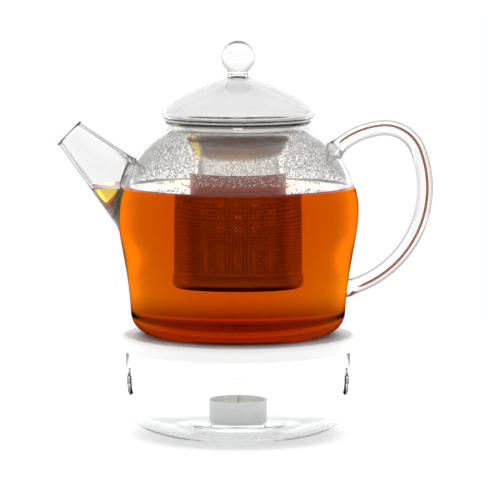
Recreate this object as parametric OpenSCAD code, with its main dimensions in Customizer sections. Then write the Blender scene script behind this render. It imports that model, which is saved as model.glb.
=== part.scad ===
// Glass teapot with a lift-out steel infuser and a glass lid, standing on a glass
// tealight warmer. Millimetres. The origin is the centre of the warmer's foot, +Z is up,
// the spout points along -X and the handle along +X.

/* [Warmer] */
// Radius of the steel plate that the pot stands on
plate_r = 75; // [72:0.5:78]
// Height of the plate's turned-down edge
plate_h = 9.6; // [8:0.2:12]
// Height of the pot's standing surface above the table
warmer_h = 65; // [62:1:75]
// Outer radius of the glass bowl
bowl_r = 72.3; // [70:0.1:72.6]
// Thickness of the bowl's glass
bowl_wall = 3; // [2.5:0.1:3.5]
// Number of air vents round the bowl
vents = 5; // [3:1:7]
// Diameter of one air vent
vent_d = 17.5; // [12:0.5:20]
// Height of the air vents' centres above the table
vent_z = 37; // [32:1:42]

/* [Tealight] */
// Outer diameter of the candle cup
tealight_d = 38; // [36:0.5:40]
// Height of the candle cup
tealight_h = 16.5; // [14:0.5:18]

/* [Pot] */
// Height of the glass rim above the pot's own foot
pot_h = 137.2; // [136.5:0.1:138]
// Radius of the belly at its widest
belly_r = 77.1; // [76:0.1:78]
// Radius of the flat that the pot stands on
pot_foot_r = 51; // [46:1:54]
// Radius of the neck at its narrowest
neck_r = 44.8; // [44.5:0.1:46]
// Thickness of the pot's glass
glass = 2; // [1.6:0.1:2.4]
// Height of the tea above the pot's own foot
tea_level = 94.4; // [60:0.5:100]

/* [Spout] */
// Rise of the spout above the horizontal, in degrees
spout_rise = 44.2; // [41:0.1:46]
// Outer radius of the spout behind its lip
spout_mouth_r = 9.9; // [9:0.1:11]
// Outer radius where the spout's axis meets the belly
spout_root_r = 19.1; // [17:0.1:20]
// Length of the spout's axis between those two
spout_l = 49.3; // [45:0.1:55]
// Radius of the pouring hole through the belly and of the spout's bore next to it
pour_hole_r = 14.5; // [12:0.5:14.5]

/* [Handle] */
// Diameter of the bent glass rod
rod_d = 10; // [9:0.2:11]

/* [Infuser] */
// Outer radius of the infuser's straight wall
infuser_r = 31.3; // [30:0.1:32]
// Height of the infuser's bottom above the pot's own foot
infuser_z = 32.6; // [28:0.5:40]
// Thickness of the pressed steel
sheet = 0.7; // [0.6:0.05:0.9]

/* [Lid] */
// Radius of the lid's rounded edge
lid_r = 48.8; // [48:0.1:50]
// Height of the dome above the flange it rests on
lid_h = 26; // [24:0.5:28]
// Thickness of the lid's glass
lid_glass = 2.2; // [1.8:0.1:2.6]
// Radius of the solid ball on top
knob_r = 10.6; // [10:0.1:12]

/* [Hidden] */
$fn = 96;

clear = 0.3;                                // gap between the tea's well and the infuser
rest_gap = 0.05;                            // gap under a piece that rests on another
plateau_r = 29;                             // raised middle of the bowl that holds the candle
plateau_z = 6;
plate_sheet = 1;
heat_hole_d = 24;                           // middle heat hole of the plate
heat_slot_d = 9;                            // the ring of smaller ones
heat_ring_r = 31;
foil = 0.5;                                 // wall of the candle cup
wax_z = plateau_z + tealight_h - 3;         // top of the wax
wick_top = plateau_z + tealight_h + 2.5;
flange_z = pot_h + sheet;                   // the lid rests here
spout_root = [-72, 0, 93.9];                // where the spout's axis meets the belly
spout_wall = 1.6;
stem_r = 6.6;                               // neck between the lid and its ball
stem_wall = 1.7;
knob_z = flange_z + lid_h + 13.3;           // centre of the ball
stem_foot_z = flange_z + lid_h - 1.6;
skirt_r = 35.2;
collar_low = 104;                           // lower end of the collar's plain band
notch_w = 6;                                // small notch at the front of the collar
notch_z = 135;

// The handle's centre line is three arcs that meet smoothly. Each is [x, z, radius].
arc_low = [53.3, 93.4, 66.3];
arc_low_end = 21.7;                         // its last angle, and the next arc's first
arc_tip_r = 22.7;
arc_tip = concat(arc_centre(arc_low, arc_tip_r, arc_low_end), [arc_tip_r]);
arc_tip_end = 95.5;
arc_top_r = 48.2;
arc_top = concat(arc_centre(arc_tip, arc_top_r, arc_tip_end), [arc_top_r]);
rod_in_low = -79;                           // both ends run on into the glass wall
rod_in_top = 139;

function arc_centre(arc, next_r, turn) =
    [arc[0] + (arc[2] - next_r) * cos(turn), arc[1] + (arc[2] - next_r) * sin(turn)];

// Points along a cubic curve from a to d, shaped by b and c, without the first one.
function curve(a, b, c, d, steps) = [for (i = [1 : steps]) let (t = i / steps, s = 1 - t)
    s * s * s * a + 3 * s * s * t * b + 3 * s * t * t * c + t * t * t * d];

// The same path moved sideways by d, to the right of its direction of travel.
function beside(path, d) = [for (i = [0 : len(path) - 1])
    let (a = path[max(i - 1, 0)], b = path[min(i + 1, len(path) - 1)], t = (b - a) / norm(b - a))
    path[i] + d * [t[1], -t[0]]];

function turned(path) = [for (i = [len(path) - 1 : -1 : 0]) path[i]];

function above(path, z) = [for (p = path) if (p[1] > z) p];

// A wall of even thickness: the path and its inner side, closed into one outline.
module wall_outline(path, thickness) polygon(concat(path, turned(beside(path, -thickness))));

// Outer side of the pot's glass, from the middle of its foot to its rim.
pot_path = concat([[0, 0], [pot_foot_r, 0]],
    curve([pot_foot_r, 0], [61.4, 0], [68.3, 5], [68.7, 14], 8),
    curve([68.7, 14], [70.2, 44], [belly_r, 62], [belly_r, 80], 10),
    curve([belly_r, 80], [belly_r, 102], [60, 121.8], [50, 126.8], 12),
    curve([50, 126.8], [46.4, 128.6], [neck_r, 131.2], [neck_r, 133.8], 5),
    curve([neck_r, 133.8], [neck_r, 135], [neck_r + 1.8, 135.2], [neck_r + 1.8, pot_h], 4));

// The same outline d further in, kept off the axis and under the rim.
function pot_inset(d) =
    [for (p = beside(pot_path, -d)) [max(p[0], 0), min(p[1], pot_h)]];

// Outer side of the lid, from its neck over the rounded edge to its resting face.
lid_path = concat([[stem_r, flange_z + lid_h + 0.6]],
    curve([stem_r, flange_z + lid_h + 0.6], [24, flange_z + 21.8], [lid_r - 1, flange_z + 11.6],
        [lid_r, flange_z + 3.4], 12),
    curve([lid_r, flange_z + 3.4], [lid_r, flange_z + 1.2], [lid_r - 1.4, flange_z],
        [lid_r - 3.6, flange_z], 5),
    [[skirt_r, flange_z]]);

// Its inner side, which leaves a bore for the knob's neck and an opening inside the skirt.
lid_inside = [for (p = beside(lid_path, lid_glass))
    [max(p[0], p[1] > flange_z + 10 ? stem_r : skirt_r), p[1]]];

// Outer side of the bowl, from its flat foot up to the start of its rounded rim.
bowl_rim_z = warmer_h - plate_sheet - rest_gap;
bowl_rim_r = bowl_wall / 2;
bowl_path = concat([[34.3, 0]], curve([34.3, 0], [57, 0], [bowl_r, 8.5], [bowl_r, 19], 10),
    [[bowl_r, bowl_rim_z - bowl_rim_r]]);
bowl_rim = [for (a = [30 : 30 : 150])
    [bowl_r - bowl_rim_r * (1 - cos(a)), bowl_rim_z - bowl_rim_r * (1 - sin(a))]];

// Lower (outer) side of the collar: flange, rounded shoulder, funnel and plain band.
collar_path = concat([[46.6, pot_h], [42, pot_h]],
    curve([42, pot_h], [40.7, pot_h], [39.9, 135.6], [39.7, 133.4], 5),
    curve([39.7, 133.4], [39.6, 126], [infuser_r + 1.1, 123], [infuser_r, 110], 8),
    [[infuser_r, collar_low]]);

// The pot, infuser and lid are modelled from the pot's own foot and lifted onto the plate here.
module on_warmer() translate([0, 0, warmer_h + rest_gap]) children();
// The seam of each turned surface is kept away from the spout and the handle.
module turned_solid() rotate([0, 0, 70]) rotate_extrude($fn = 96) children();

module pot_envelope() turned_solid() polygon(concat(pot_path, [[0, pot_h]]));

// A turned solid along the spout's axis; its points are [radius, distance beyond the root].
module along_spout(points) translate(spout_root) rotate([0, spout_rise - 90, 0])
    rotate([0, 0, 40]) rotate_extrude() polygon(points);

function spout_r(s) = spout_root_r + (spout_mouth_r - spout_root_r) * s / spout_l;

// The bore is straight next to the belly and tapers from here on.
taper_s = (spout_root_r - spout_wall - pour_hole_r) * spout_l / (spout_root_r - spout_mouth_r);

module spout_bore(from, to, gap) along_spout([[0, from], [pour_hole_r - gap, from],
    [pour_hole_r - gap, taper_s], [spout_r(to) - spout_wall - gap, to], [0, to]]);

module rod_arc(arc, from, to) translate([arc[0], 0, arc[1]]) rotate([90, 0, 0])
    rotate([0, 0, from]) rotate_extrude(angle = to - from, $fn = 48)
        translate([arc[2], 0]) circle(d = rod_d);

// A slightly fuller ball that joins two arcs of the rod.
module rod_bend(arc, turn) translate([arc[0] + arc[2] * cos(turn), 0, arc[1] + arc[2] * sin(turn)])
    sphere(r = rod_d / 2 + 0.05);

module warmer_bowl() color([0.93, 0.95, 0.95, 0.35]) difference() {
    turned_solid() polygon(concat([[0, 0]], bowl_path, bowl_rim,
        turned(above(beside(bowl_path, -bowl_wall), bowl_wall + 0.2)),
        [[plateau_r + 2.5, bowl_wall], [plateau_r, plateau_z], [0, plateau_z]]));
    for (i = [0 : vents - 1]) rotate([0, 0, i * 360 / vents - 90])
        translate([bowl_r - 20, 0, vent_z]) rotate([0, 90, 0]) cylinder(h = 30, d = vent_d);
}

module warmer_plate() color([0.9, 0.9, 0.9]) difference() {
    turned_solid() polygon(concat([[0, warmer_h], [plate_r - 3, warmer_h]],
        curve([plate_r - 3, warmer_h], [plate_r - 1.3, warmer_h], [plate_r, warmer_h - 1.3],
            [plate_r, warmer_h - 3], 5),
        [[plate_r, warmer_h - plate_h], [plate_r - plate_sheet, warmer_h - plate_h]],
        turned(curve([plate_r - 3, warmer_h - plate_sheet],
            [plate_r - 1.9, warmer_h - plate_sheet], [plate_r - plate_sheet, warmer_h - 1.9],
            [plate_r - plate_sheet, warmer_h - 3], 5)),
        [[plate_r - 3, warmer_h - plate_sheet], [0, warmer_h - plate_sheet]]));
    translate([0, 0, warmer_h - 5]) cylinder(h = 10, d = heat_hole_d);
    for (i = [0 : 7]) rotate([0, 0, i * 45]) translate([heat_ring_r, 0, warmer_h - 5])
        cylinder(h = 10, d = heat_slot_d);
}

module tealight_cup() color([0.8, 0.8, 0.8]) difference() {
    translate([0, 0, plateau_z]) cylinder(h = tealight_h, d = tealight_d);
    translate([0, 0, plateau_z + foil]) cylinder(h = tealight_h, d = tealight_d - 2 * foil);
}

module tealight_wax() color([0.95, 0.93, 0.87]) difference() {
    translate([0, 0, plateau_z + foil])
        cylinder(h = wax_z - plateau_z - foil, d = tealight_d - 2 * foil);
    cylinder(h = 60, d = 2);
    cylinder(h = plateau_z + foil + 5, d = 3);
    cylinder(h = plateau_z + foil + 0.4, d = 14);
}

module tealight_tab() color([0.7, 0.7, 0.72]) difference() {
    union() {
        translate([0, 0, plateau_z + foil]) cylinder(h = 0.4, d = 14);
        translate([0, 0, plateau_z + foil]) cylinder(h = 5, d = 3);
    }
    translate([0, 0, plateau_z + foil + 0.2]) cylinder(h = 20, d = 2);
}

module tealight_wick() color([0.9, 0.88, 0.8])
    translate([0, 0, plateau_z + foil + 0.2])
        cylinder(h = wick_top - plateau_z - foil - 0.2, d = 2);

module pot_body() on_warmer() color([0.9, 0.93, 0.93, 0.35]) difference() {
    turned_solid() polygon(concat(pot_path, turned(pot_inset(glass))));
    spout_bore(-18, 20, 0);
}

module spout() on_warmer() color([0.9, 0.93, 0.93, 0.35]) difference() {
    union() {
        difference() {
            along_spout([[0, -20], [spout_r(-20), -20], [spout_mouth_r, spout_l], [0, spout_l]]);
            pot_envelope();
        }
        along_spout([[0, spout_l - 2.4], [spout_mouth_r - 0.4, spout_l - 2.4],
            [spout_mouth_r + 1.1, spout_l + 0.8], [0, spout_l + 0.8]]);
    }
    spout_bore(-30, spout_l + 2, 0);
}

module handle() on_warmer() color([0.9, 0.93, 0.93, 0.35]) difference() {
    union() {
        rod_arc(arc_low, rod_in_low, arc_low_end);
        rod_arc(arc_tip, arc_low_end, arc_tip_end);
        rod_arc(arc_top, arc_tip_end, rod_in_top);
        rod_bend(arc_tip, arc_low_end);
        rod_bend(arc_tip, arc_tip_end);
    }
    pot_envelope();
}

// The tea stands 0.15 mm off the glass and leaves a well for the lift-out infuser.
tea_gap = 0.15;

module tea() on_warmer() color([0.75, 0.25, 0.05, 0.6]) difference() {
    union() {
        turned_solid() polygon(concat(pot_inset(glass + tea_gap), [[0, pot_h]]));
        spout_bore(-18, spout_l, tea_gap);
    }
    translate([-130, -100, tea_level]) cube([260, 200, 100]);
    translate([0, 0, infuser_z - clear]) cylinder(h = 100, r = infuser_r + clear);
}

module infuser_collar() on_warmer() color([0.72, 0.68, 0.62]) difference() {
    turned_solid() wall_outline(turned(collar_path), sheet);
    translate([-notch_w / 2, -41.6, notch_z]) cube([notch_w, 20, 5]);
}

module infuser_wall() on_warmer() color([0.7, 0.68, 0.64])
    translate([0, 0, infuser_z + 6]) difference() {
        cylinder(h = collar_low + 5 - infuser_z - 6, r = infuser_r - sheet);
        translate([0, 0, -1]) cylinder(h = 200, r = infuser_r - sheet - 0.5);
    }

module infuser_base() on_warmer() color([0.7, 0.68, 0.64])
    turned_solid() wall_outline(concat([[0, infuser_z], [infuser_r - 5, infuser_z]],
        [for (a = [15 : 15 : 90]) [infuser_r - 5 + 5 * sin(a), infuser_z + 5 - 5 * cos(a)]],
        [[infuser_r, infuser_z + 10]]), sheet);

module lid_dome() on_warmer() color([0.9, 0.93, 0.93, 0.35])
    turned_solid() polygon(concat(turned(lid_path), lid_inside));

module lid_skirt() on_warmer() color([0.9, 0.93, 0.93, 0.35])
    translate([0, 0, flange_z - 6]) difference() {
        cylinder(h = 6 + lid_glass, r = skirt_r);
        translate([0, 0, -1]) cylinder(h = 20, r = skirt_r - 2);
    }

module lid_knob() on_warmer() color([0.9, 0.93, 0.93, 0.35]) difference() {
    union() {
        translate([0, 0, knob_z]) sphere(r = knob_r);
        translate([0, 0, stem_foot_z]) cylinder(h = knob_z - 6 - stem_foot_z, r = stem_r);
    }
    translate([0, 0, 100]) cylinder(h = knob_z - knob_r + 1 - 100, r = stem_r - stem_wall);
}

warmer_bowl();
warmer_plate();
tealight_cup();
tealight_wax();
tealight_tab();
tealight_wick();
pot_body();
spout();
handle();
tea();
infuser_collar();
infuser_wall();
infuser_base();
lid_dome();
lid_skirt();
lid_knob();
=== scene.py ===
"""Looks for the glass teapot on its tealight warmer. Sizes below are millimetres, turned to metres by MM."""

import math
import random

import bmesh
import bpy
from mathutils import Matrix, Vector
from mathutils.geometry import delaunay_2d_cdt


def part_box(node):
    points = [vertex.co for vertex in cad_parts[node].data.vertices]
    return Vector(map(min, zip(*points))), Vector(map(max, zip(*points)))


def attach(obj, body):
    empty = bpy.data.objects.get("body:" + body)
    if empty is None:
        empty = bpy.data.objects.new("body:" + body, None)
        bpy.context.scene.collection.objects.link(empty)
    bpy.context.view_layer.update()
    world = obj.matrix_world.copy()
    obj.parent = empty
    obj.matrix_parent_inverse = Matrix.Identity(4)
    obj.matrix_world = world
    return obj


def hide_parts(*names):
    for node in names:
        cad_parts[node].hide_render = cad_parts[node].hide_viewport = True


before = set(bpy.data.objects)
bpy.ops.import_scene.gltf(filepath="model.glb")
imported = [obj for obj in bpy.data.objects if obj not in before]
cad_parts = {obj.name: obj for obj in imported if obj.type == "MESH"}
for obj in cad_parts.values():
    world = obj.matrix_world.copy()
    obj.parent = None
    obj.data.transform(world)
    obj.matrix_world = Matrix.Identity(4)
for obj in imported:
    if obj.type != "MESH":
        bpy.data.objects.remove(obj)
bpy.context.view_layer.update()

MM = 0.001


def node_box(name):
    """A CAD node's lowest and highest corner in millimetres."""
    low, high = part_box(name)
    return Vector(low) / MM, Vector(high) / MM


# ---------------------------------------------------------------- driving sizes
PLATE_TOP = node_box("warmer_plate")[1].z
POT_FOOT = node_box("pot_body")[0].z               # the pot's own heights start here
PLATE_R = node_box("warmer_plate")[1].y
PLATE_SKIRT = PLATE_TOP - node_box("warmer_plate")[0].z
BOWL_R = node_box("warmer_bowl")[1].y
BOWL_TOP = node_box("warmer_bowl")[1].z
BOWL_WALL = 3.0
PLATEAU_R, PLATEAU_Z = 29.0, 6.0
VENTS, VENT_D, VENT_Z = 5, 17.5, 37.0

CUP_LOW, CUP_HIGH = node_box("tealight_cup")
CUP_R = CUP_HIGH.y
WICK_TOP = node_box("tealight_wick")[1].z

POT_H = node_box("pot_body")[1].z - POT_FOOT
BELLY_R = 77.1
POT_FOOT_R = 51.0
NECK_R = 44.8
GLASS = 2.0
TEA_LEVEL = node_box("tea")[1].z - POT_FOOT
POUR_HOLE_R = 14.5

SPOUT_RISE = math.radians(44.2)
SPOUT_ROOT = Vector((-72.0, 0, 93.9))
SPOUT_ROOT_R, SPOUT_MOUTH_R, SPOUT_L, SPOUT_WALL = 19.1, 9.9, 49.3, 1.6
SPOUT_DIR = Vector((-math.cos(SPOUT_RISE), 0, math.sin(SPOUT_RISE)))
SPOUT_UP = Vector((math.sin(SPOUT_RISE), 0, math.cos(SPOUT_RISE)))
SPOUT_SIDE = Vector((0, 1, 0))

ROD_R = 5.0
SHEET = 0.7
INFUSER_R = node_box("infuser_base")[1].y
INFUSER_Z = node_box("infuser_base")[0].z - POT_FOOT
COLLAR_LOW = node_box("infuser_collar")[0].z - POT_FOOT
FLANGE_Z = POT_H + SHEET
FLANGE_R = NECK_R + 1.8

LID_R = node_box("lid_dome")[1].y
LID_H = 26.0
LID_GLASS = 1.7                                    # the CAD lid's wall is 2.2
SKIRT_R = node_box("lid_skirt")[1].y
STEM_R = 6.6
STEM_WALL = 1.7
KNOB_R = node_box("lid_knob")[1].y
KNOB_Z = node_box("lid_knob")[1].z - POT_FOOT - KNOB_R
SINK = 0.25                                        # how far the tea and the fused ends reach into the glass
DROPS_WANTED, DROP_SEED = 7400, 7                  # condensation inside the shoulder
NOTCH_W, NOTCH_Z = 6.0, 135.0                      # notch in the infuser's flange

CAMERA_AT = Vector((0.0038, -2.4, 0.378))          # the camera's own places are in metres
CAMERA_AIM = Vector((0.0038, 0, 0.1226))
CAMERA_LENS = 278


# ---------------------------------------------------------------- outlines
def curve(a, b, c, d, steps):
    """Points of a cubic curve from a to d, without the first one."""
    out = []
    for i in range(1, steps + 1):
        t = i / steps
        s = 1 - t
        out.append(tuple(s**3 * p + 3 * s * s * t * q + 3 * s * t * t * u + t**3 * v
                         for p, q, u, v in zip(a, b, c, d)))
    return out


def arc(centre, radius, start, end, steps):
    """Points of a round arc in the outline plane, angles in degrees, both ends included."""
    out = []
    for i in range(steps + 1):
        a = math.radians(start + (end - start) * i / steps)
        out.append((centre[0] + radius * math.cos(a), centre[1] + radius * math.sin(a)))
    return out


def beside(path, d):
    """The path moved sideways by d, to the right of its direction of travel."""
    out = []
    for i, p in enumerate(path):
        a = path[max(i - 1, 0)]
        b = path[min(i + 1, len(path) - 1)]
        run = math.hypot(b[0] - a[0], b[1] - a[1])
        out.append((p[0] + d * (b[1] - a[1]) / run, p[1] - d * (b[0] - a[0]) / run))
    return out


def cap_round(outer_end, inner_end, steps=6):
    """A half round over the edge of a wall, from its outer side to its inner side."""
    mid = ((outer_end[0] + inner_end[0]) / 2, (outer_end[1] + inner_end[1]) / 2)
    radius = math.hypot(outer_end[0] - mid[0], outer_end[1] - mid[1])
    start = math.degrees(math.atan2(outer_end[1] - mid[1], outer_end[0] - mid[0]))
    return arc(mid, radius, start, start + 180, steps)[1:-1]


def around_circle(count):
    """Evenly spaced angles once round."""
    return (2 * math.pi * k / count for k in range(count))


def pot_outline():
    """Outer side of the pot's glass from the middle of its foot to its rim."""
    return ([(0, 0.9), (20, 0.9), (40, 0.8)] +
            curve((40, 0.8), (44, 0.7), (47, 0), (POT_FOOT_R, 0), 6) +
            curve((POT_FOOT_R, 0), (61.4, 0), (68.3, 5), (68.7, 14), 20) +
            curve((68.7, 14), (70.2, 44), (BELLY_R, 62), (BELLY_R, 80), 36) +
            curve((BELLY_R, 80), (BELLY_R, 102), (60, 121.8), (50, 126.8), 44) +
            curve((50, 126.8), (46.4, 128.6), (NECK_R, 131.2), (NECK_R, 133.6), 14) +
            curve((NECK_R, 133.6), (NECK_R, 134.8), (FLANGE_R, 135), (FLANGE_R, POT_H - 1), 8))


POT_OUT = pot_outline()
POT_IN = [(max(r, 0.0), z) for r, z in beside(POT_OUT, -GLASS)]


def radius_at(outline, z):
    """The outline's radius at height z, on the part above the foot."""
    for (r0, z0), (r1, z1) in zip(outline[12:], outline[13:]):
        if z0 <= z <= z1:
            return r0 + (r1 - r0) * (z - z0) / max(z1 - z0, 1e-9)
    return 0.0


# ---------------------------------------------------------------- mesh building
def add_object(name, mesh_data, body, material, replaced=(), smooth_angle=40):
    """Puts a mesh in the scene, shades it, sets what it rides on, and hides the CAD parts it replaces."""
    obj = bpy.data.objects.new(name, mesh_data)
    bpy.context.scene.collection.objects.link(obj)
    for polygon in mesh_data.polygons:
        polygon.use_smooth = True
    mesh_data.set_sharp_from_angle(angle=math.radians(smooth_angle))
    mesh_data.materials.clear()
    mesh_data.materials.append(material)
    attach(obj, body)
    if replaced:
        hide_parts(*replaced)
    return obj


def to_mesh(name, verts, faces):
    """A mesh from millimetre points, with its faces turned outwards."""
    mesh_data = bpy.data.meshes.new(name)
    mesh_data.from_pydata([tuple(c * MM for c in v) for v in verts], [], faces)
    bm = bmesh.new()
    bm.from_mesh(mesh_data)
    bmesh.ops.remove_doubles(bm, verts=bm.verts, dist=1e-7)
    bmesh.ops.dissolve_degenerate(bm, edges=bm.edges, dist=1e-8)
    bmesh.ops.recalc_face_normals(bm, faces=bm.faces)
    bm.to_mesh(mesh_data)
    bm.free()
    return mesh_data


def lathe(name, outline, segments=192, closed=True):
    """Turns an outline round the Z axis. A closed outline is a ring; an open one runs from axis to axis."""
    verts, rings = [], []
    for r, z in outline:
        if r < 1e-6:
            rings.append([len(verts)])
            verts.append((0, 0, z))
            continue
        rings.append(list(range(len(verts), len(verts) + segments)))
        verts += [(r * math.cos(a), r * math.sin(a), z) for a in around_circle(segments)]
    faces = []
    pairs = list(zip(rings, rings[1:]))
    if closed:
        pairs.append((rings[-1], rings[0]))
    for low, high in pairs:
        for i in range(segments):
            j = (i + 1) % segments
            if len(low) == 1 and len(high) == 1:
                break
            if len(low) == 1:
                faces.append((low[0], high[j], high[i]))
            elif len(high) == 1:
                faces.append((low[i], low[j], high[0]))
            else:
                faces.append((low[i], low[j], high[j], high[i]))
    return to_mesh(name, verts, faces)


def tube_mesh(name, rings_of_points, capped=True):
    """A skin over a row of equal rings of points; capped closes its two ends."""
    count = len(rings_of_points[0])
    verts = [tuple(p) for ring in rings_of_points for p in ring]
    faces = []
    for k in range(len(rings_of_points) - 1):
        for i in range(count):
            j = (i + 1) % count
            faces.append((k * count + i, k * count + j, (k + 1) * count + j, (k + 1) * count + i))
    if capped:
        faces.append(tuple(range(count)))
        faces.append(tuple(range(len(verts) - count, len(verts))))
    return to_mesh(name, verts, faces)


def boolean(target, tool, operation):
    """Joins, cuts or keeps the overlap of two meshes, and returns the new mesh."""
    a = bpy.data.objects.new("boolean_a", target)
    b = bpy.data.objects.new("boolean_b", tool)
    for o in (a, b):
        bpy.context.scene.collection.objects.link(o)
    mod = a.modifiers.new("cut", "BOOLEAN")
    mod.object, mod.operation, mod.solver = b, operation, "MANIFOLD"
    bpy.context.view_layer.update()
    graph = bpy.context.evaluated_depsgraph_get()
    made = bpy.data.meshes.new_from_object(a.evaluated_get(graph))
    made.name = target.name
    for o in (a, b):
        bpy.data.objects.remove(o)
    return made


def block_mesh(name, low, high):
    """A box between two corners, used only as a cutting tool."""
    (x0, y0, z0), (x1, y1, z1) = low, high
    return to_mesh(name, [(x, y, z) for z in (z0, z1) for x, y in ((x0, y0), (x1, y0), (x1, y1), (x0, y1))],
                   [(0, 1, 2, 3), (4, 5, 6, 7), (0, 1, 5, 4), (1, 2, 6, 5), (2, 3, 7, 6), (3, 0, 4, 7)])


def on_warmer(mesh_data):
    """Lifts a mesh made in the pot's own heights onto the warmer."""
    mesh_data.transform(Matrix.Translation((0, 0, POT_FOOT * MM)))
    return mesh_data


def faces_outwards(polygon):
    """True for a face that looks away from the Z axis."""
    return polygon.center.x * polygon.normal.x + polygon.center.y * polygon.normal.y >= 0


# ---------------------------------------------------------------- materials
GLASS_IOR, WATER_IOR = 1.47, 1.333


def new_material(name):
    """A material with its nodes, links and Principled shader."""
    material = bpy.data.materials.new(name)
    material.use_nodes = True
    nodes = material.node_tree.nodes
    shader = nodes["Principled BSDF"]
    return material, nodes, material.node_tree.links, shader


def add_bump(nodes, links, shader, height, strength, distance_mm):
    """Relief from a height output, on a shader's normal."""
    bump = nodes.new("ShaderNodeBump")
    bump.inputs["Strength"].default_value = strength
    bump.inputs["Distance"].default_value = distance_mm * MM
    links.new(height, bump.inputs["Height"])
    links.new(bump.outputs["Normal"], shader.inputs["Normal"])


def object_noise(nodes, links, scale, detail=2.0, stretch=(1, 1, 1)):
    """Noise in the piece's own space, scale in features per metre."""
    coords = nodes.new("ShaderNodeTexCoord")
    mapping = nodes.new("ShaderNodeMapping")
    mapping.inputs["Scale"].default_value = stretch
    noise = nodes.new("ShaderNodeTexNoise")
    noise.inputs["Scale"].default_value = scale
    noise.inputs["Detail"].default_value = detail
    links.new(coords.outputs["Object"], mapping.inputs["Vector"])
    links.new(mapping.outputs["Vector"], noise.inputs["Vector"])
    return noise.outputs["Fac"]


def height_ramp(nodes, links, low, high):
    """A value that goes from 0 to 1 between two heights in millimetres."""
    coords = nodes.new("ShaderNodeTexCoord")
    parts = nodes.new("ShaderNodeSeparateXYZ")
    rise = nodes.new("ShaderNodeMapRange")
    rise.inputs["From Min"].default_value = low * MM
    rise.inputs["From Max"].default_value = high * MM
    links.new(coords.outputs["Object"], parts.inputs["Vector"])
    links.new(parts.outputs["Z"], rise.inputs["Value"])
    return rise


def mixed_colour(nodes, links, factor, first, second, socket):
    """Links a blend of two colours to a socket."""
    mix = nodes.new("ShaderNodeMix")
    mix.data_type = "RGBA"
    mix.inputs["A"].default_value = (*first, 1)
    mix.inputs["B"].default_value = (*second, 1)
    links.new(factor, mix.inputs["Factor"])
    links.new(mix.outputs["Result"], socket)


def add_waviness(nodes, links, shader, wave_mm=0.006):
    """The very slight unevenness of blown glass."""
    add_bump(nodes, links, shader, object_noise(nodes, links, 45, 1.0, (1, 1, 0.45)), 0.5, wave_mm)


def set_clear(shader, ior):
    """Makes a Principled shader clear and smooth."""
    shader.inputs["Transmission Weight"].default_value = 1.0
    shader.inputs["Roughness"].default_value = 0.0
    shader.inputs["IOR"].default_value = ior


def glass_material(name, tint, wave_mm=0.006, ior=GLASS_IOR, shine=0.5, edge=1.0, edge_shade_span=(0.55, 0.85)):
    """Clear blown glass. An edge under 1 paints shade on it side-on: it dims what is seen through it there,
    more than real glass does, to draw dark outlines.
    """
    material, nodes, links, shader = new_material(name)
    shader.inputs["Base Color"].default_value = (*tint, 1)
    # painted shade: the colour is darkened where the surface is seen side-on
    if edge < 1:
        facing = nodes.new("ShaderNodeLayerWeight")
        facing.inputs["Blend"].default_value = 0.5
        rise = nodes.new("ShaderNodeMapRange")
        rise.inputs["From Min"].default_value = edge_shade_span[0]
        rise.inputs["From Max"].default_value = edge_shade_span[1]
        links.new(facing.outputs["Facing"], rise.inputs["Value"])
        mixed_colour(nodes, links, rise.outputs["Result"], tint, [c * edge for c in tint],
                     shader.inputs["Base Color"])
    set_clear(shader, ior)
    shader.inputs["Specular Tint"].default_value = (shine, shine, shine, 1)
    if wave_mm:
        add_waviness(nodes, links, shader, wave_mm)
    return material


def tea_material():
    """Clear black tea: colour comes from how far light travels in it, and its foot is darkened."""
    material, nodes, links, shader = new_material("tea")
    foot_shade = height_ramp(nodes, links, POT_FOOT + 5, POT_FOOT + 30)
    foot_shade.interpolation_type = "SMOOTHSTEP"
    mixed_colour(nodes, links, foot_shade.outputs["Result"], (0.24, 0.035, 0.05), (1, 1, 1),
                 shader.inputs["Base Color"])
    set_clear(shader, WATER_IOR)
    absorb = nodes.new("ShaderNodeVolumeAbsorption")
    absorb.inputs["Color"].default_value = (0.979, 0.873, 0.0, 1)
    absorb.inputs["Density"].default_value = 150.0
    links.new(absorb.outputs["Volume"], nodes["Material Output"].inputs["Volume"])
    # Only the free surface reflects: against glass, which has nearly the same index, tea doesn't.
    level = POT_FOOT + TEA_LEVEL - 0.5
    free_surface = height_ramp(nodes, links, level, level + 0.3)
    links.new(free_surface.outputs["Result"], shader.inputs["Specular Tint"])
    return material


def steel_material(name, colour, roughness, grain=0.004, around=True, metallic=1.0):
    """Brushed steel with fine lines round the piece."""
    material, nodes, links, shader = new_material(name)
    shader.inputs["Base Color"].default_value = (*colour, 1)
    shader.inputs["Metallic"].default_value = metallic
    stretch = (1, 1, 60) if around else (1, 1, 1)
    lines = object_noise(nodes, links, 30, 4.0, stretch)
    ramp = nodes.new("ShaderNodeMapRange")
    ramp.inputs["To Min"].default_value = roughness * 0.75
    ramp.inputs["To Max"].default_value = roughness * 1.3
    links.new(lines, ramp.inputs["Value"])
    links.new(ramp.outputs["Result"], shader.inputs["Roughness"])
    add_bump(nodes, links, shader, lines, 0.4, grain)
    return material


def plain_material(name, colour, dark, roughness, scale, bump_mm, subsurface=0.0):
    """A matt or waxy surface with a gentle mottle."""
    material, nodes, links, shader = new_material(name)
    mottle = object_noise(nodes, links, scale, 3.0)
    mixed_colour(nodes, links, mottle, dark, colour, shader.inputs["Base Color"])
    shader.inputs["Roughness"].default_value = roughness
    shader.inputs["Subsurface Weight"].default_value = subsurface
    shader.inputs["Subsurface Radius"].default_value = (0.004, 0.003, 0.002)
    add_bump(nodes, links, shader, mottle, 0.5, bump_mm)
    return material


def bending_glass(nodes):
    """A shader that bends light and doesn't reflect, much as glass does where tea wets it."""
    bend = nodes.new("ShaderNodeBsdfRefraction")
    bend.inputs["Color"].default_value = (0.985, 0.985, 0.98, 1)
    bend.inputs["Roughness"].default_value = 0.0
    bend.inputs["IOR"].default_value = GLASS_IOR
    return bend


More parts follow.
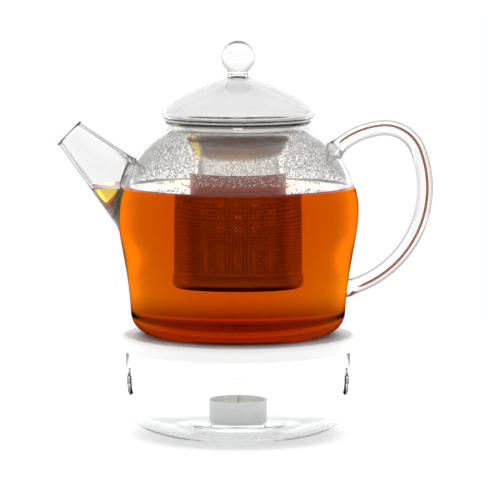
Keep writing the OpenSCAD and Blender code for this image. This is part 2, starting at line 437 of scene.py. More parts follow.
def wet_glass_material():
    """The wetted wall's inner face, which reflects next to nothing."""
    material, nodes, links, shader = new_material("wet_inner_glass")
    nodes.remove(shader)
    bend = bending_glass(nodes)
    add_waviness(nodes, links, bend)
    links.new(bend.outputs["BSDF"], nodes["Material Output"].inputs["Surface"])
    return material


def filled_glass_material():
    """The filled wall's outer face: a clear view in, and full mirroring for light inside the glass."""
    material, nodes, links, shader = new_material("wet_outer_glass")
    shader.inputs["Base Color"].default_value = (0.97, 0.97, 0.96, 1)
    set_clear(shader, GLASS_IOR)
    add_waviness(nodes, links, shader)
    side = nodes.new("ShaderNodeNewGeometry")
    mix = nodes.new("ShaderNodeMixShader")
    links.new(side.outputs["Backfacing"], mix.inputs[0])
    links.new(bending_glass(nodes).outputs["BSDF"], mix.inputs[1])
    links.new(shader.outputs["BSDF"], mix.inputs[2])
    links.new(mix.outputs["Shader"], nodes["Material Output"].inputs["Surface"])
    return material


# The edge values below paint shade on each glass where it is seen side-on, for its dark outlines.
POT_GLASS = glass_material("pot_glass", (0.97, 0.975, 0.97), shine=0.7, edge=0.6)
WET_GLASS = wet_glass_material()
FILLED_GLASS = filled_glass_material()
SPOUT_GLASS = glass_material("spout_glass", (0.95, 0.945, 0.95), shine=0.6, edge=0.12, edge_shade_span=(0.4, 0.7))
ROD_GLASS = glass_material("rod_glass", (0.94, 0.93, 0.935), shine=0.5, edge=0.25, edge_shade_span=(0.12, 0.5))
# The air line's brown tint is a painted reflection of the tea.
AIR_LINE_TEA_REFLECTION = glass_material("air_line", (0.26, 0.12, 0.07), 0, shine=0.5)
DOME_GLASS = glass_material("lid_glass", (0.90, 0.895, 0.895), shine=1.0, edge=0.75)
KNOB_GLASS = glass_material("knob_glass", (0.97, 0.97, 0.965), shine=0.6, edge=0.12, edge_shade_span=(0.3, 0.75))
# The warmer is faded almost to white, so its glass bends light less than real glass does.
BOWL_GLASS = glass_material("bowl_glass", (0.985, 0.99, 0.99), 0.01, ior=1.2)
# The vents' faces are tinted grey: painted shade that draws their edges.
VENT_GLASS = glass_material("vent_glass", (0.93, 0.94, 0.94), 0, ior=1.02)
# The condensation's edge paints dark rings of shade round each drop.
WATER = glass_material("condensation", (0.98, 0.98, 0.98), 0, WATER_IOR, 1.0, 0.05, (0.15, 0.6))
TEA = tea_material()
INFUSER_STEEL = steel_material("infuser_steel", (0.90, 0.86, 0.83), 0.2)
# The basket's dark red-brown is painted shade, tinted with the red of the tea it is seen through, so it
# reads as dark red through the tea; out of the tea the same colour passes for a tea stain.
BASKET_SHADE_STEEL = steel_material("basket_steel", (0.31, 0.11, 0.09), 0.35)
# A darker copy of the collar's steel for its inner faces: painted shade, so the funnel's inside and the
# notch read dark.
SHADED_INNER_STEEL = steel_material("inner_steel_painted_shade", (0.62, 0.58, 0.54), 0.45)
FLANGE_STEEL = steel_material("flange_steel", (0.86, 0.85, 0.83), 0.4)
PLATE_STEEL = steel_material("plate_steel", (0.93, 0.93, 0.925), 0.6, 0.003, metallic=0.7)
FOIL = steel_material("foil", (0.96, 0.96, 0.96), 0.5, 0.01, False, metallic=0.35)
WAX = plain_material("wax", (0.93, 0.92, 0.88), (0.85, 0.83, 0.77), 0.45, 60, 0.15, 0.4)
COTTON = plain_material("cotton", (0.86, 0.84, 0.78), (0.5, 0.48, 0.42), 0.9, 900, 0.2)


# ---------------------------------------------------------------- camera, light, floor
def make_camera():
    """Long lens a little above the pot, looking slightly down."""
    data = bpy.data.cameras.new("camera")
    camera = bpy.data.objects.new("camera", data)
    bpy.context.scene.collection.objects.link(camera)
    data.sensor_width, data.lens = 36, CAMERA_LENS
    data.clip_start, data.clip_end = 0.1, 60
    camera.location = CAMERA_AT
    camera.rotation_euler = (CAMERA_AIM - camera.location).to_track_quat("-Z", "Y").to_euler()
    bpy.context.scene.camera = camera


def make_world():
    """A white studio: bright behind, beside, above and at the horizon, with dim gaps at its sides."""
    world = bpy.data.worlds.new("studio")
    bpy.context.scene.world = world
    world.use_nodes = True
    nodes, links = world.node_tree.nodes, world.node_tree.links
    background = nodes["Background"]
    coords = nodes.new("ShaderNodeTexCoord")
    parts = nodes.new("ShaderNodeSeparateXYZ")
    links.new(coords.outputs["Generated"], parts.inputs["Vector"])

    def ramp(source, start, end, low, high):
        """Smooth change from low to high; low and high are numbers or other ramps."""
        node = nodes.new("ShaderNodeMapRange")
        node.interpolation_type = "SMOOTHSTEP"
        node.inputs["From Min"].default_value = start
        node.inputs["From Max"].default_value = end
        for socket, value in (("To Min", low), ("To Max", high)):
            if isinstance(value, (int, float)):
                node.inputs[socket].default_value = value
            else:
                links.new(value, node.inputs[socket])
        links.new(source, node.inputs["Value"])
        return node.outputs["Result"]

    flat = nodes.new("ShaderNodeCombineXYZ")
    links.new(parts.outputs["X"], flat.inputs["X"])
    links.new(parts.outputs["Y"], flat.inputs["Y"])
    unit = nodes.new("ShaderNodeVectorMath")
    unit.operation = "NORMALIZE"
    links.new(flat.outputs["Vector"], unit.inputs[0])
    heading = nodes.new("ShaderNodeSeparateXYZ")
    links.new(unit.outputs["Vector"], heading.inputs["Vector"])
    ahead = heading.outputs["Y"]                   # 1 is straight behind the pot, -1 the camera's side
    flags = ramp(ahead, 0.08, 0.15, 1.02, 0.25)    # dark gaps beside the backdrop draw the glass edges
    wings = ramp(ahead, 0.33, 0.40, flags, 1.9)
    horizon = ramp(ahead, 0.55, 0.88, wings, 1.01)
    middle = ramp(ahead, -0.3, 0.5, 0.45, 1.0)
    glow = ramp(ahead, 0.5, 0.8, horizon, 2.0)     # low behind the pot, it whitens the tea's surface
    above = ramp(parts.outputs["Z"], 0.05, 0.1, horizon, glow)
    lower = ramp(parts.outputs["Z"], 0.12, 0.17, above, middle)
    links.new(ramp(parts.outputs["Z"], 0.5, 0.8, lower, 1.25), background.inputs["Strength"])
    background.inputs["Color"].default_value = (1, 1, 1, 1)


def make_floor():
    """A white, faintly glowing disc under the warmer, for the studio only."""
    bm = bmesh.new()
    bmesh.ops.create_circle(bm, cap_ends=True, segments=128, radius=0.6)
    data = bpy.data.meshes.new("floor")
    bm.to_mesh(data)
    bm.free()
    floor = bpy.data.objects.new("floor", data)
    bpy.context.scene.collection.objects.link(floor)
    material, nodes, links, shader = new_material("floor_white")
    shader.inputs["Base Color"].default_value = (0.97, 0.97, 0.97, 1)
    shader.inputs["Roughness"].default_value = 0.9
    shader.inputs["Specular IOR Level"].default_value = 0.0
    shader.inputs["Emission Color"].default_value = (1, 1, 1, 1)
    shader.inputs["Emission Strength"].default_value = 0.3
    data.materials.append(material)
    floor.location.z = -0.0002


def set_render():
    """Plain colours, and enough bounces for glass behind glass."""
    scene = bpy.context.scene
    scene.view_settings.view_transform = "Standard"
    scene.view_settings.look = "None"
    scene.cycles.max_bounces = 32
    scene.cycles.transmission_bounces = 32
    scene.cycles.glossy_bounces = 12
    scene.cycles.diffuse_bounces = 4
    scene.cycles.transparent_max_bounces = 16
    scene.cycles.volume_bounces = 0
    scene.cycles.use_denoising = True
    scene.cycles.sample_clamp_indirect = 4


make_camera()
make_world()
make_floor()
set_render()


# ---------------------------------------------------------------- the pot
def spout_radius(s):
    """The cone's outer radius, s along its axis from the root."""
    return SPOUT_ROOT_R + (SPOUT_MOUTH_R - SPOUT_ROOT_R) * s / SPOUT_L


def spout_point(s, radius, turn):
    """A point beside the spout's axis; turn 0 is the upper side."""
    return (SPOUT_ROOT + SPOUT_DIR * s +
            (SPOUT_UP * math.cos(turn) + SPOUT_SIDE * math.sin(turn)) * radius)


def inside_belly(p, depth):
    """True once a point is deeper than depth under the belly's outer face."""
    return math.hypot(p.x, p.y) < radius_at(POT_OUT, p.z) - depth


def spout_root_s(shape, turn, depth):
    """Where a line down the spout first reaches depth into the belly's wall."""
    low, high = -25.0, 20.0
    for _ in range(40):
        mid = (low + high) / 2
        if inside_belly(shape(mid, turn), depth):
            low = mid
        else:
            high = mid
    return low


def bore_radius(s):
    """The spout's inner radius: straight next to the belly, then a rounded turn into the taper."""
    taper, straight, soft = spout_radius(s) - SPOUT_WALL, POUR_HOLE_R, 0.5
    return (taper + straight - math.hypot(taper - straight, soft)) / 2


def spout_mesh(name="spout", turns=128, rows=72):
    """Conical spout: thin wall, thicker root fused to the belly, beaded pouring lip."""
    flare, flare_l = 0.8, 5.0
    columns = []
    for turn in around_circle(turns):
        root_out = spout_root_s(lambda s, t: spout_point(s, spout_radius(s), t), turn, 0.0)

        def outer(s, _=None, turn=turn, root=root_out):
            spread = min(1.0, max(0.0, 1 - (s - root) / flare_l)) ** 2.2 * flare
            return spout_point(s, spout_radius(s) + spread, turn)

        def inner(s, _=None, turn=turn):
            return spout_point(s, bore_radius(s), turn)

        start = spout_root_s(outer, turn, SINK)
        column = [outer(start + (SPOUT_L - 1.2 - start) * (k / rows) ** 1.4) for k in range(rows + 1)]
        low_side = (1 - math.cos(turn)) / 2
        droop = 0.15 * low_side ** 2
        for s, dr in ((0.6, 0.2), (1.0, 0.45), (1.5, 0.75 + droop), (1.9, 0.9 + droop),
                      (2.3, 0.75 + droop), (2.5, 0.3 + droop), (2.45, -0.3 + droop),
                      (2.1, -0.9 + droop), (1.4, -1.35 + droop * 0.6), (0.6, -1.5)):
            column.append(spout_point(SPOUT_L + s - 1.2, SPOUT_MOUTH_R + dr - 0.15, turn))
        inner_start = spout_root_s(inner, turn, SINK)
        column += [inner(inner_start + (SPOUT_L - 1.2 - inner_start) * (1 - k / rows) ** 1.4)
                   for k in range(rows + 1)]
        columns.append(column)
    rings = [list(ring) for ring in zip(*columns)]
    rings.append(rings[0])
    return tube_mesh(name, rings, capped=False)


def rod_centre():
    """Points of the handle's centre line: three arcs that meet smoothly."""
    low = ((53.3, 93.4), 66.3)
    turn_a, turn_b = 21.7, 95.5

    def next_arc(previous, radius, turn):
        (x, z), r = previous
        a = math.radians(turn)
        return ((x + (r - radius) * math.cos(a), z + (r - radius) * math.sin(a)), radius)

    tip = next_arc(low, 22.7, turn_a)
    top = next_arc(tip, 48.2, turn_b)
    points = []
    for (centre, radius), start, end, steps in ((low, -79, turn_a, 90), (tip, turn_a, turn_b, 40),
                                                (top, turn_b, 139, 40)):
        points += arc(centre, radius, start, end, steps)[0 if not points else 1:]
    return points


def belly_envelope(depth):
    """The whole pot as one solid, depth under its outer face."""
    side = [(max(r, 0.0), z) for r, z in beside(POT_OUT, -depth)]
    return lathe("envelope", side + [(0, POT_H)], 256, closed=False)


def air_line_mesh(centre, around=16):
    """The thin air line that was drawn out with the rod, a little outside its middle."""
    aside, thin = 1.1, 0.75
    rings = []
    for i, p in enumerate(centre):
        a, b = centre[max(i - 1, 0)], centre[min(i + 1, len(centre) - 1)]
        run = Vector((b[0] - a[0], 0, b[1] - a[1])).normalized()
        out = Vector((run.z, 0, -run.x))
        ends = min(i, len(centre) - 1 - i) / 6
        radius = thin * math.sin(math.pi / 2 * min(1.0, 0.1 + ends))
        middle = Vector((p[0], 0, p[1])) + out * aside
        rings.append([middle + (out * math.cos(t) + Vector((0, 1, 0)) * math.sin(t)) * radius
                      for t in around_circle(around)])
    return tube_mesh("air_line", rings)


ROD_CENTRE = rod_centre()


def in_air_line(point):
    """True for a point of the finished rod that lies on its air line and not on its skin."""
    x, z = point.x / MM, point.z / MM - POT_FOOT
    away = min(math.hypot(x - p[0], z - p[1]) for p in ROD_CENTRE)
    return math.hypot(away, point.y / MM) < ROD_R - 0.8


def handle_mesh(name="handle", around=48):
    """Bent glass rod whose ends spread a little where they are fused to the belly."""
    centre = [p for p in ROD_CENTRE if p[0] > radius_at(POT_OUT, p[1]) - 7]
    dry = [i for i, p in enumerate(centre) if p[0] > radius_at(POT_OUT, p[1])]
    lengths = [0.0]
    for a, b in zip(centre, centre[1:]):
        lengths.append(lengths[-1] + math.hypot(b[0] - a[0], b[1] - a[1]))
    rings = []
    for i, p in enumerate(centre):
        a, b = centre[max(i - 1, 0)], centre[min(i + 1, len(centre) - 1)]
        run = Vector((b[0] - a[0], 0, b[1] - a[1])).normalized()
        side = Vector((0, 1, 0))
        up = run.cross(side)
        from_low, from_top = lengths[i] - lengths[dry[0]], lengths[dry[-1]] - lengths[i]
        radius = (ROD_R + 0.9 * min(1.0, max(0.0, 1 - from_low / 5)) ** 2 +
                  1.6 * min(1.0, max(0.0, 1 - from_top / 7)) ** 2)
        rings.append([Vector((p[0], 0, p[1])) + (side * math.cos(t) + up * math.sin(t)) * radius
                      for t in around_circle(around)])
    rod = boolean(tube_mesh(name, rings), belly_envelope(SINK), "DIFFERENCE")
    return boolean(rod, air_line_mesh(centre[dry[0] + 4:dry[-1] - 4]), "DIFFERENCE")


def pot_body_mesh():
    """The blown wall with its rim bead, and the pouring hole."""
    loop = POT_OUT + cap_round(POT_OUT[-1], POT_IN[-1], 8) + POT_IN[::-1]
    body = lathe("pot_body", loop, 256, closed=False)
    turns, stops = 128, [-16 + 36 * k / 30 for k in range(31)]
    hole = tube_mesh("hole", [[spout_point(s, bore_radius(s), turn) for turn in around_circle(turns)]
                              for s in stops])
    return boolean(body, hole, "DIFFERENCE")


def tea_mesh():
    """All the tea: in the belly, inside the infuser, through the pouring hole and up the spout."""
    wall = [(max(r, 0.0), z) for r, z in beside(POT_OUT, SINK - GLASS)]
    wall = [p for p in wall if p[1] < TEA_LEVEL - 1.2 and p[0] < BELLY_R]
    edge = radius_at(POT_IN, TEA_LEVEL) + SINK
    creep = 1.5                                    # how far the tea climbs the glass it wets
    top = [(edge + 0.15, TEA_LEVEL - 1.0), (edge, TEA_LEVEL + creep * 0.75)]
    for k in range(1, 13):
        d = k * 0.45
        top.append((edge - SINK - d + 0.2, TEA_LEVEL + creep * math.exp(-d / 1.3)))
    top.append((edge - 9, TEA_LEVEL))
    for r in (60, 50, 42, 36):
        top.append((r, TEA_LEVEL))
    for k in range(12, 0, -1):
        d = k * 0.4
        top.append((INFUSER_R + d - 0.3, TEA_LEVEL + 1.1 * math.exp(-d / 1.1)))
    top += [(INFUSER_R - 0.35, TEA_LEVEL + 1.1), (INFUSER_R - 1, TEA_LEVEL + 0.4),
            (INFUSER_R - 3, TEA_LEVEL), (15, TEA_LEVEL), (0, TEA_LEVEL)]
    belly = lathe("tea", wall + top, 256, closed=False)
    turns, stops = 128, [-14 + 62 * k / 60 for k in range(61)]
    arm = tube_mesh("arm", [[spout_point(s, bore_radius(s) + SINK, turn) for turn in around_circle(turns)]
                            for s in stops])
    above_level = block_mesh("above", (-130.0, -60, TEA_LEVEL), (0, 60, TEA_LEVEL + 90))
    arm = boolean(arm, above_level, "DIFFERENCE")
    return boolean(belly, arm, "UNION")


def scatter_drops(count, seed):
    """Places, outward directions and sizes of fine water drops on the inside of the shoulder."""
    rng = random.Random(seed)
    low, high = TEA_LEVEL + 6, 131.0
    drops, cells = [], {}
    tries = 0
    while len(drops) < count and tries < count * 30:
        tries += 1
        z = low + (high - low) * rng.random()
        r = radius_at(POT_IN, z)
        if rng.random() > r / BELLY_R:
            continue
        turn = rng.random() * 2 * math.pi
        size = 0.30 + 0.45 * rng.random() ** 2.0
        if rng.random() > 0.3 + 0.7 * min(1.0, (z - low) / 8.0):
            continue
        p = Vector((r * math.cos(turn), r * math.sin(turn), z))
        if (p - (SPOUT_ROOT + SPOUT_DIR * 4)).length < POUR_HOLE_R + 3:
            continue
        key = (int(p.x // 2), int(p.y // 2), int(p.z // 2))
        near = [q for dx in (-1, 0, 1) for dy in (-1, 0, 1) for dz in (-1, 0, 1)
                for q in cells.get((key[0] + dx, key[1] + dy, key[2] + dz), [])]
        if any((p - q[0]).length < (size + q[1]) * 0.95 for q in near):
            continue
        cells.setdefault(key, []).append((p, size))
        slope = (radius_at(POT_IN, z + 0.5) - radius_at(POT_IN, z - 0.5))
        drops.append((p, Vector((math.cos(turn), math.sin(turn), -slope)).normalized(), size))
    return drops


def drops_mesh(name, drops, sides=8):
    """Rounded caps of water set slightly into the glass they hang on."""
    bm = bmesh.new()
    for p, outward, size in drops:
        side = outward.orthogonal().normalized()
        other = outward.cross(side)
        rings = []
        for depth, share in ((0.12, 0.9), (-0.12 * size, 1.0), (-0.52 * size, 0.82)):
            rings.append([bm.verts.new((p + outward * depth +
                                        (side * math.cos(t) + other * math.sin(t)) * size * share) * MM)
                          for t in around_circle(sides)])
        crown = bm.verts.new((p - outward * size * 0.85) * MM)
        for low_ring, high_ring in zip(rings, rings[1:]):
            for k in range(sides):
                j = (k + 1) % sides
                bm.faces.new((low_ring[k], low_ring[j], high_ring[j], high_ring[k]))
        for k in range(sides):
            bm.faces.new((rings[-1][k], rings[-1][(k + 1) % sides], crown))
        bm.faces.new(rings[0][::-1])
    bmesh.ops.recalc_face_normals(bm, faces=bm.faces)
    mesh_data = bpy.data.meshes.new(name)
    bm.to_mesh(mesh_data)
    bm.free()
    return mesh_data


pot_body = add_object("pot_glass_body", on_warmer(pot_body_mesh()), "pot", POT_GLASS,
                      ("pot_body",))
add_object("pot_glass_spout", on_warmer(spout_mesh()), "pot", SPOUT_GLASS, ("spout",))
handle = add_object("pot_glass_handle", on_warmer(handle_mesh()), "pot", ROD_GLASS,
                    ("handle",))
pot_body.data.materials.append(WET_GLASS)          # tea behind the glass takes its reflections away
pot_body.data.materials.append(FILLED_GLASS)
for polygon in pot_body.data.polygons:
    if polygon.center.z > (POT_FOOT + TEA_LEVEL + 0.5) * MM:
        continue
    inner_side = not faces_outwards(polygon) or polygon.normal.z > 0.7
    polygon.material_index = 1 if inner_side else 2
handle.data.materials.append(AIR_LINE_TEA_REFLECTION)
for polygon in handle.data.polygons:               # the air line's faces look into the rod
    polygon.material_index = int(in_air_line(polygon.center))
add_object("tea_liquid", on_warmer(tea_mesh()), "pot", TEA, ("tea",))
all_drops = scatter_drops(DROPS_WANTED, DROP_SEED)
for drops_name, in_front in (("condensation_front", True), ("condensation_back", False)):
    drops = drops_mesh(drops_name, [d for d in all_drops if (d[0].y < 0) == in_front])
    add_object(drops_name, on_warmer(drops), "pot", WATER, smooth_angle=80)


# ---------------------------------------------------------------- the infuser
def collar_mesh():
    """Pressed collar: rolled flange, funnel and plain band, with a small notch at the front."""
    lower = ([(INFUSER_R, COLLAR_LOW), (INFUSER_R, COLLAR_LOW + 4)] +
             curve((INFUSER_R, 110), (INFUSER_R + 1.1, 123), (39.6, 126), (39.7, 133.4), 22) +
             curve((39.7, 133.4), (39.9, 135.6), (40.7, POT_H), (42, POT_H), 10) +
             [(43.5, POT_H), (FLANGE_R - 0.2, POT_H)])
    upper = beside(lower, -SHEET)
    loop = lower + cap_round(lower[-1], upper[-1], 6) + upper[::-1]
    body = lathe("infuser_collar", loop, 192)
    notch = block_mesh("notch", (-NOTCH_W / 2, -41.6, NOTCH_Z), (NOTCH_W / 2, -21.6, NOTCH_Z + 5))
    return boolean(body, notch, "DIFFERENCE")


def perforated_wall_mesh():
    """Thin steel tube with plain bands at both ends and rows of punched round holes between."""
    outer_r, inner_r = INFUSER_R - SHEET, INFUSER_R - SHEET - 0.5
    low, high = INFUSER_Z + 6, COLLAR_LOW + 5
    holes_low, holes_high = low + 6, TEA_LEVEL - 6
    columns, rows = 100, 24
    pitch_z = (holes_high - holes_low) / rows
    hole_r = 0.45
    corners = 8
    verts, faces = [], []
    index = {}

    def vertex(turn, z, r):
        key = (round(turn % (2 * math.pi), 6) % round(2 * math.pi, 6), round(z, 4), round(r, 3))
        if key not in index:
            index[key] = len(verts)
            verts.append((r * math.cos(turn), r * math.sin(turn), z))
        return index[key]

    step = 2 * math.pi / columns
    for row in range(rows):
        z0 = holes_low + row * pitch_z
        for column in range(columns):
            t0 = column * step
            edge = [(t0, z0), (t0 + step / 2, z0), (t0 + step, z0), (t0 + step, z0 + pitch_z / 2),
                    (t0 + step, z0 + pitch_z), (t0 + step / 2, z0 + pitch_z), (t0, z0 + pitch_z),
                    (t0, z0 + pitch_z / 2)]
            middle = (t0 + step / 2, z0 + pitch_z / 2)
            ring = [(middle[0] + hole_r / outer_r * math.cos(a), middle[1] + hole_r * math.sin(a))
                    for a in (math.radians(225 + 360 * k / corners) for k in range(corners))]
            sides = {}
            for r in (outer_r, inner_r):
                sides[r] = ([vertex(t, z, r) for t, z in edge], [vertex(t, z, r) for t, z in ring])
            for k in range(corners):
                j = (k + 1) % corners
                for r in (outer_r, inner_r):
                    e, h = sides[r]
                    faces.append((e[k], e[j], h[j], h[k]))
                faces.append((sides[outer_r][1][k], sides[outer_r][1][j], sides[inner_r][1][j],
                              sides[inner_r][1][k]))
    for z0, z1 in ((low, holes_low), (holes_high, high)):
        for r in (outer_r, inner_r):
            for half in range(columns * 2):
                t0, t1 = half * step / 2, (half + 1) * step / 2
                faces.append((vertex(t0, z0, r), vertex(t1, z0, r), vertex(t1, z1, r), vertex(t0, z1, r)))
    for z in (low, high):
        for half in range(columns * 2):
            t0, t1 = half * step / 2, (half + 1) * step / 2
            faces.append((vertex(t0, z, outer_r), vertex(t1, z, outer_r), vertex(t1, z, inner_r),
                          vertex(t0, z, inner_r)))
    return to_mesh("infuser_wall", verts, faces)


def base_mesh():
    """Pressed bottom with a rounded corner and a field of punched holes."""
    corner = 5.0
    flat_r = INFUSER_R - corner - 1.5
    pitch, hole_r, corners = 2.2, 0.55, 8
    points, edges, holes = [], [], []
    rim_count = 96
    for i, a in enumerate(around_circle(rim_count)):
        points.append(Vector((flat_r * math.cos(a), flat_r * math.sin(a))))
        edges.append((i, (i + 1) % rim_count))
    reach = int(flat_r / pitch) + 1
    for i in range(-reach, reach + 1):
        for j in range(-reach, reach + 1):
            x, y = (i + 0.5 * (j % 2)) * pitch, j * pitch * 0.866
            if math.hypot(x, y) > flat_r - 1.6:
                continue
            first = len(points)
            for k, a in enumerate(around_circle(corners)):
                points.append(Vector((x + hole_r * math.cos(a), y + hole_r * math.sin(a))))
                edges.append((first + k, first + (k + 1) % corners))
            holes.append((x, y))
    flat_points, _, triangles, *_ = delaunay_2d_cdt(points, edges, [], 2, 1e-6)
    centres = {}
    for x, y in holes:
        centres.setdefault((round(x / pitch), round(y / pitch)), []).append((x, y))

    def in_hole(c):
        key = (round(c[0] / pitch), round(c[1] / pitch))
        return any(math.hypot(c[0] - x, c[1] - y) < hole_r * 0.97
                   for dx in (-1, 0, 1) for dy in (-1, 0, 1)
                   for x, y in centres.get((key[0] + dx, key[1] + dy), []))

    kept = []
    for t in triangles:
        c = [sum(flat_points[i][axis] for i in t) / 3 for axis in (0, 1)]
        if math.hypot(*c) < flat_r and not in_hole(c):
            kept.append(t)
    verts = ([(p[0], p[1], INFUSER_Z) for p in flat_points] +
             [(p[0], p[1], INFUSER_Z + SHEET) for p in flat_points])
    count = len(flat_points)
    faces = [tuple(t) for t in kept] + [tuple(i + count for i in t[::-1]) for t in kept]
    uses = {}
    for t in kept:
        for a, b in zip(t, t[1:] + t[:1]):
            uses[tuple(sorted((a, b)))] = uses.get(tuple(sorted((a, b))), 0) + 1
    rim = []
    for (a, b), n in uses.items():
        if n != 1:
            continue
        middle = (flat_points[a] + flat_points[b]) / 2
        if middle.length > flat_r - 0.3:
            rim.append((a, b))
        else:
            faces.append((a, b, b + count, a + count))
    # The rounded corner and upstand, joined to the flat's rim points.
    profile = ([(flat_r, INFUSER_Z), (INFUSER_R - corner, INFUSER_Z)] +
               arc((INFUSER_R - corner, INFUSER_Z + corner), corner, -75, 0, 5) +
               [(INFUSER_R, INFUSER_Z + 9.7)])
    inner = beside(profile, -SHEET)
    inner[0] = (flat_r, INFUSER_Z + SHEET)
    loop = profile + cap_round(profile[-1], inner[-1], 4) + inner[::-1]
    base_index = len(verts)
    for r, z in loop[1:-1]:
        verts += [(r * math.cos(a), r * math.sin(a), z) for a in around_circle(rim_count)]
    rings = [list(range(rim_count))]
    rings += [[base_index + k * rim_count + i for i in range(rim_count)] for k in range(len(loop) - 2)]
    rings.append([i + count for i in range(rim_count)])
    for a, b in zip(rings, rings[1:]):
        for i in range(rim_count):
            j = (i + 1) % rim_count
            faces.append((a[i], a[j], b[j], b[i]))
    return to_mesh("infuser_base", verts, faces)


collar = add_object("infuser_steel_collar", on_warmer(collar_mesh()), "infuser",
                    INFUSER_STEEL, ("infuser_collar",))
collar.data.materials.append(SHADED_INNER_STEEL)
collar.data.materials.append(FLANGE_STEEL)
for polygon in collar.data.polygons:               # the funnel's inside gets painted shade, a darker steel than the flange above it
    if polygon.center.z > (POT_FOOT + POT_H - 5) * MM:
        polygon.material_index = 2
    else:
        polygon.material_index = int(not faces_outwards(polygon))
add_object("infuser_steel_wall", on_warmer(perforated_wall_mesh()), "infuser", BASKET_SHADE_STEEL,
           ("infuser_wall",))
add_object("infuser_steel_base", on_warmer(base_mesh()), "infuser", BASKET_SHADE_STEEL,
           ("infuser_base",))


# ---------------------------------------------------------------- the lid
def lid_dome_mesh():
    """Blown dome with a rounded edge, open under the knob's neck."""
    outer = ([(STEM_R, FLANGE_Z + LID_H + 0.6)] +
             curve((STEM_R, FLANGE_Z + LID_H + 0.6), (24, FLANGE_Z + 21.8), (LID_R - 1, FLANGE_Z + 11.6),
                   (LID_R, FLANGE_Z + 3.4), 48) +
             curve((LID_R, FLANGE_Z + 3.4), (LID_R, FLANGE_Z + 1.2), (LID_R - 1.4, FLANGE_Z),
                   (LID_R - 3.6, FLANGE_Z), 14) +
             [(40, FLANGE_Z), (SKIRT_R, FLANGE_Z)])
    inner = [(max(r, STEM_R if z > FLANGE_Z + 10 else SKIRT_R), z) for r, z in beside(outer, LID_GLASS)]
    return lathe("lid_dome", outer + inner[::-1], 256)


def lid_skirt_mesh():
    """Ring under the dome that keeps the lid in the flange."""
    low, high = FLANGE_Z - 6, FLANGE_Z + LID_GLASS
    wall = 2.0
    loop = ([(SKIRT_R, high), (SKIRT_R, low + 1)] +
            arc((SKIRT_R - wall / 2, low + 1), wall / 2, 0, -180, 8)[1:] + [(SKIRT_R - wall, high)])
    return lathe("lid_skirt", loop, 192)


def lid_knob_mesh():
    """Solid ball on a short hollow neck that opens into the lid."""
    foot = FLANGE_Z + LID_H - 1.6
    waist = STEM_R - 0.25
    join = math.degrees(math.acos(waist / KNOB_R))
    outer = ([(STEM_R, foot), (STEM_R, foot + 2.4)] +
             curve((STEM_R, foot + 2.4), (waist, foot + 3.4), (waist, foot + 4.6),
                   (waist + 0.05, foot + 5.6), 6) +
             arc((0, KNOB_Z), KNOB_R, -join + 3, 90, 48))
    outer[-1] = (0, outer[-1][1])
    bore, top = STEM_R - STEM_WALL, KNOB_Z - KNOB_R + 0.9
    inner = ([(bore, foot), (bore, top - 1.6)] +
             curve((bore, top - 1.6), (bore, top - 0.4), (bore - 1.4, top), (bore - 2.6, top), 8) +
             [(0, top)])
    return lathe("lid_knob", outer + inner[::-1], 128)


for lid_name, lid_mesh, lid_look, lid_node in (("lid_glass_dome", lid_dome_mesh, DOME_GLASS, "lid_dome"),
                                               ("lid_glass_skirt", lid_skirt_mesh, DOME_GLASS, "lid_skirt"),
                                               ("lid_glass_knob", lid_knob_mesh, KNOB_GLASS, "lid_knob")):
    add_object(lid_name, on_warmer(lid_mesh()), "lid", lid_look, (lid_node,))


# ---------------------------------------------------------------- the warmer
def bowl_mesh():
    """Round-bottomed bowl with a raised floor for the candle and a row of air vents."""
    outer = ([(0, 0), (20, 0), (34.3, 0)] +
             curve((34.3, 0), (57, 0), (BOWL_R, 8.5), (BOWL_R, 19), 32) +
             [(BOWL_R, 40), (BOWL_R, BOWL_TOP - 1.5)])
    inner = [p for p in beside(outer[3:], -BOWL_WALL) if p[1] > BOWL_WALL + 0.1]
    floor = ([(PLATEAU_R + 4.5, BOWL_WALL), (PLATEAU_R + 2.6, BOWL_WALL)] +
             curve((PLATEAU_R + 2.6, BOWL_WALL), (PLATEAU_R + 1.2, BOWL_WALL), (PLATEAU_R + 1.4, PLATEAU_Z),
                   (PLATEAU_R, PLATEAU_Z), 8) + [(0, PLATEAU_Z)])
    loop = outer + cap_round(outer[-1], inner[-1], 8) + inner[::-1] + floor
    body = lathe("warmer_bowl", loop, 256, closed=False)
    for turn in around_circle(VENTS):
        a = turn - math.pi / 2                     # the first vent faces the front
        away = Vector((math.cos(a), math.sin(a), 0))
        side = Vector((-math.sin(a), math.cos(a), 0))
        hole = tube_mesh("vent", [[away * d + side * (VENT_D / 2 * math.cos(t)) +
                                   Vector((0, 0, VENT_Z + VENT_D / 2 * math.sin(t)))
                                   for t in around_circle(64)] for d in (BOWL_R - 12, BOWL_R + 6)])
        body = boolean(body, hole, "DIFFERENCE")
    return body


def plate_mesh():
    """Pressed steel plate: rounded shoulder, turned-down edge, heat holes."""
    sheet, corner = 1.0, 3.0
    heat_ring_r, middle_hole_r, heat_hole_r, heat_holes = 31, 12, 4.5, 8
    outer = ([(0, PLATE_TOP), (30, PLATE_TOP), (60, PLATE_TOP)] +
             arc((PLATE_R - corner, PLATE_TOP - corner), corner, 90, 0, 12) +
             [(PLATE_R, PLATE_TOP - PLATE_SKIRT + 1)])
    inner = beside(outer, sheet)
    inner[0] = (0, PLATE_TOP - sheet)
    edge = arc((PLATE_R - sheet / 2, PLATE_TOP - PLATE_SKIRT + 0.5), sheet / 2, 0, -180, 6)
    body = lathe("warmer_plate", outer + edge + inner[::-1], 192, closed=False)
    ring = [(heat_ring_r * math.cos(a), heat_ring_r * math.sin(a), heat_hole_r)
            for a in around_circle(heat_holes)]
    for x, y, r in [(0, 0, middle_hole_r)] + ring:
        hole = tube_mesh("heat_hole", [[Vector((x + r * math.cos(a), y + r * math.sin(a), z))
                                        for a in around_circle(48)] for z in (PLATE_TOP - 5, PLATE_TOP + 5)])
        body = boolean(body, hole, "DIFFERENCE")
    return body


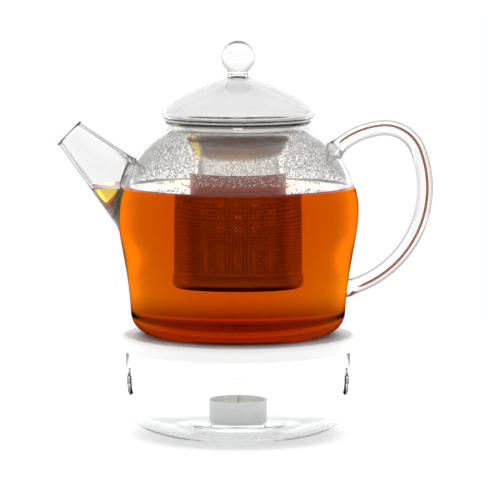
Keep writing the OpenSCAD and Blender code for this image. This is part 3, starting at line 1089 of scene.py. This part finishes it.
def cup_mesh():
    """Thin pressed foil cup with a rolled lip and a foot ring."""
    low, high = CUP_LOW.z, CUP_HIGH.z
    outer = [(0, low + 0.5), (CUP_R - 3, low + 0.5), (CUP_R - 2.5, low), (CUP_R - 1.4, low),
             (CUP_R - 0.6, low + 0.8), (CUP_R - 0.5, low + 2), (CUP_R - 0.45, high - 1.2)]
    lip = arc((CUP_R - 0.5, high - 0.5), 0.5, -60, 180, 8)
    inner = [(CUP_R - 1.0, high - 1.2), (CUP_R - 1.0, low + 1.4), (CUP_R - 2, low + 0.9), (0, low + 0.9)]
    return lathe("tealight_cup", outer + lip + inner, 96, closed=False)


def wax_mesh():
    """Wax with a raised edge against the cup and a small rise at the wick."""
    low, top = CUP_LOW.z + 1.0, CUP_HIGH.z - 3
    r = CUP_R - 1.05
    outline = ([(0, low), (r, low), (r, top + 0.9)] +
               curve((r, top + 0.9), (r - 1.2, top + 0.1), (r - 3, top), (r - 6, top), 6) +
               [(4, top - 0.1), (2.2, top + 0.1), (1.2, top + 0.5), (0, top + 0.5)])
    return lathe("tealight_wax", outline, 96, closed=False)


def wick_mesh():
    """A twisted cotton wick with a slight lean at its tip."""
    low, top = CUP_LOW.z + 2, WICK_TOP
    rings = []
    rows, around = 24, 12
    for k in range(rows + 1):
        t = k / rows
        z = low + (top - low) * t
        lean = 0.35 * max(0.0, t - 0.7) ** 2 / 0.09
        taper = 1 - 0.25 * t**6
        ring = []
        for a in around_circle(around):
            strand_r = 0.75 + 0.12 * math.cos(3 * (a + 9 * t))
            ring.append(Vector((lean + strand_r * math.cos(a) * taper, strand_r * math.sin(a) * taper, z)))
        rings.append(ring)
    return tube_mesh("tealight_wick", rings)


bowl = add_object("warmer_glass_bowl", bowl_mesh(), "warmer", BOWL_GLASS, ("warmer_bowl",))
bowl.data.materials.append(VENT_GLASS)
for polygon in bowl.data.polygons:                 # the faces inside the vents' holes
    from_axis = math.hypot(polygon.center.x, polygon.center.y) / MM
    in_wall = BOWL_R - BOWL_WALL + 0.1 < from_axis < BOWL_R - 0.1
    polygon.material_index = int(in_wall and abs(polygon.center.z / MM - VENT_Z) < VENT_D / 2 + 0.2)
add_object("warmer_steel_plate", plate_mesh(), "plate", PLATE_STEEL, ("warmer_plate",))
add_object("tealight_foil_cup", cup_mesh(), "tealight", FOIL, ("tealight_cup",))
add_object("tealight_wax_body", wax_mesh(), "tealight", WAX, ("tealight_wax",))
add_object("tealight_cotton_wick", wick_mesh(), "tealight", COTTON, ("tealight_wick",))
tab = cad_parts["tealight_tab"]
tab.data.materials.clear()
tab.data.materials.append(FOIL)

bpy.context.view_layer.update()
